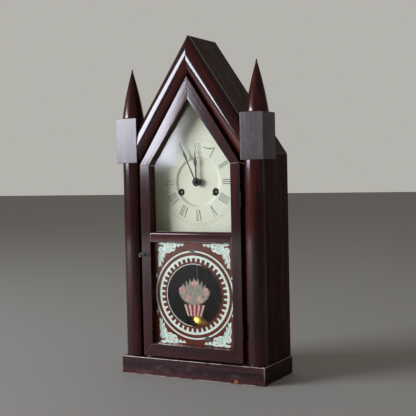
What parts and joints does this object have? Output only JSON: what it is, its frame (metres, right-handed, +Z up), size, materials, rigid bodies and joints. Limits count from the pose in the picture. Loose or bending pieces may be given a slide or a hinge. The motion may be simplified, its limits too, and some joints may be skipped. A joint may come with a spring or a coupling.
{
  "type": "steeple shelf clock",
  "caption": "Pointed wooden shelf clock with turned steeples, half-round columns, a glazed and painted door, a dial with two hands, a pendulum movement and a coil gong.",
  "frame": {"origin": "centre of the plinth, on the surface the clock stands on", "axes": "+Z up to the roof peak, the dial faces -Y, +X to the right as the dial is read"},
  "size_m": [0.2438, 0.098, 0.4998],
  "materials": {
    "moulding_rosewood": "glossy shellac",
    "door_rosewood": "glossy shellac",
    "side_rosewood": "dull shellac",
    "steeple_rosewood": "glossy shellac",
    "block_rosewood": "worn satin shellac",
    "plinth_rosewood": "worn shellac",
    "pine": "bare",
    "window_glass": "old window glass",
    "painted_glass": "painted on the back",
    "dial_paint": "satin paint",
    "hand_black": "satin black",
    "black_iron": "black paint",
    "steel": "satin",
    "brass": "aged satin"
  },
  "bodies": {
    "case": {"plinth_front": "plinth_rosewood", "left_plinth_rail": "plinth_rosewood", "right_plinth_rail": "plinth_rosewood", "bottom_board": "pine", "left_side_board": "side_rosewood", "right_side_board": "side_rosewood", "left_roof_board": "side_rosewood", "right_roof_board": "side_rosewood", "back_board": "pine", "left_front_stile": "moulding_rosewood", "right_front_stile": "moulding_rosewood", "left_gable_moulding": "moulding_rosewood", "right_gable_moulding": "moulding_rosewood", "left_column": "moulding_rosewood", "right_column": "moulding_rosewood", "left_capital_block": "block_rosewood", "right_capital_block": "block_rosewood", "left_steeple": "steeple_rosewood", "right_steeple": "steeple_rosewood", "lower_hinge_case_leaf": "brass", "upper_hinge_case_leaf": "brass", "latch_pin": "brass", "dial_plate": "dial_paint", "movement_front_plate": "brass", "movement_back_plate": "brass", "suspension_cock": "brass", "time_mainspring": "steel", "strike_mainspring": "steel", "gong_coil": "steel", "gong_base": "black_iron"},
    "door": {"door_left_stile": "door_rosewood", "door_right_stile": "door_rosewood", "door_bottom_rail": "door_rosewood", "door_mid_rail": "door_rosewood", "door_left_slope": "door_rosewood", "door_right_slope": "door_rosewood", "upper_glass": "window_glass", "lower_glass": "painted_glass", "lower_hinge_door_leaf": "brass", "upper_hinge_door_leaf": "brass"},
    "latch": {"door_latch": "black_iron"},
    "minute_hand": {"minute_hand": "hand_black", "hand_nut": "hand_black", "centre_arbor": "steel"},
    "hour_hand": {"hour_hand": "hand_black", "hour_wheel": "brass"},
    "minute_wheel": {"minute_wheel": "brass"},
    "centre_wheel": {"centre_wheel": "brass"},
    "third_wheel": {"third_wheel": "brass"},
    "escape_wheel": {"escape_wheel": "brass"},
    "time_great_wheel": {"time_great_wheel": "brass"},
    "time_winding_arbor": {"time_winding_arbor": "steel"},
    "pendulum": {"pendulum_rod": "steel", "pendulum_bob": "brass"},
    "verge": {"verge": "steel"},
    "strike_great_wheel": {"strike_great_wheel": "brass"},
    "strike_pin_wheel": {"strike_pin_wheel": "brass"},
    "fly": {"fly": "brass"},
    "strike_winding_arbor": {"strike_winding_arbor": "steel"},
    "hammer": {"hammer": "steel"}
  },
  "joints": [
    {"name": "door_hinge", "type": "hinge", "parent": "case", "child": "door", "pos_m": [0.0849, -0.044, 0.17], "axis": [0, 0, 1], "range_deg": [0, 110]},
    {"name": "latch_turn", "type": "hinge", "parent": "door", "child": "latch", "pos_m": [-0.077, -0.044, 0.18], "axis": [0, 1, 0], "range_deg": [0, 80]},
    {"name": "minute_hand_turn", "type": "hinge", "parent": "case", "child": "minute_hand", "pos_m": [0, -0.022, 0.2868], "axis": [0, 1, 0], "continuous": true},
    {"name": "hour_hand_turn", "type": "hinge", "parent": "case", "child": "hour_hand", "pos_m": [0, -0.019, 0.2868], "axis": [0, 1, 0], "continuous": true},
    {"name": "minute_wheel_turn", "type": "hinge", "parent": "case", "child": "minute_wheel", "pos_m": [0.00706, -0.009, 0.27352], "axis": [0, 1, 0], "continuous": true},
    {"name": "centre_wheel_turn", "type": "hinge", "parent": "case", "child": "centre_wheel", "pos_m": [0, 0.01, 0.2868], "axis": [0, 1, 0], "continuous": true},
    {"name": "third_wheel_turn", "type": "hinge", "parent": "case", "child": "third_wheel", "pos_m": [0.01176, 0.01, 0.3122], "axis": [0, 1, 0], "continuous": true},
    {"name": "escape_wheel_turn", "type": "hinge", "parent": "case", "child": "escape_wheel", "pos_m": [-0.0095, 0.01, 0.316], "axis": [0, 1, 0], "continuous": true},
    {"name": "time_great_wheel_turn", "type": "hinge", "parent": "case", "child": "time_great_wheel", "pos_m": [0.029, 0.016, 0.272], "axis": [0, 1, 0], "continuous": true},
    {"name": "time_winding_turn", "type": "hinge", "parent": "case", "child": "time_winding_arbor", "pos_m": [0.029, 0.016, 0.272], "axis": [0, 1, 0], "continuous": true},
    {"name": "pendulum_swing", "type": "hinge", "parent": "case", "child": "pendulum", "pos_m": [-0.0095, -0.006, 0.3455], "axis": [0, 1, 0], "range_deg": [-3.5, 3.5]},
    {"name": "verge_rock", "type": "hinge", "parent": "case", "child": "verge", "pos_m": [-0.0095, -0.003, 0.3355], "axis": [0, 1, 0], "range_deg": [-5, 5]},
    {"name": "fly_turn", "type": "hinge", "parent": "case", "child": "fly", "pos_m": [-0.02974, 0.016, 0.32214], "axis": [0, 1, 0], "continuous": true},
    {"name": "strike_pin_wheel_turn", "type": "hinge", "parent": "case", "child": "strike_pin_wheel", "pos_m": [-0.04014, 0.016, 0.30259], "axis": [0, 1, 0], "continuous": true},
    {"name": "strike_great_wheel_turn", "type": "hinge", "parent": "case", "child": "strike_great_wheel", "pos_m": [-0.029, 0.008, 0.272], "axis": [0, 1, 0], "continuous": true},
    {"name": "strike_winding_turn", "type": "hinge", "parent": "case", "child": "strike_winding_arbor", "pos_m": [-0.029, 0.008, 0.272], "axis": [0, 1, 0], "continuous": true},
    {"name": "hammer_swing", "type": "hinge", "parent": "case", "child": "hammer", "pos_m": [0, 0.017, 0.247], "axis": [0, 1, 0], "range_deg": [-3.7, 14], "stiffness_Nm_per_rad": 0.05}
  ],
  "couplings": [
    {"joint": "hour_hand_turn", "follows": "minute_hand_turn", "ratio": 0.083333},
    {"joint": "minute_wheel_turn", "follows": "minute_hand_turn", "ratio": -0.33333},
    {"joint": "third_wheel_turn", "follows": "escape_wheel_turn", "ratio": -0.125},
    {"joint": "centre_wheel_turn", "follows": "escape_wheel_turn", "ratio": 0.013889},
    {"joint": "time_great_wheel_turn", "follows": "escape_wheel_turn", "ratio": -0.0023148},
    {"joint": "strike_pin_wheel_turn", "follows": "fly_turn", "ratio": -0.125},
    {"joint": "strike_great_wheel_turn", "follows": "fly_turn", "ratio": 0.020833},
    {"joint": "verge_rock", "follows": "pendulum_swing", "ratio": 1.385}
  ]
}
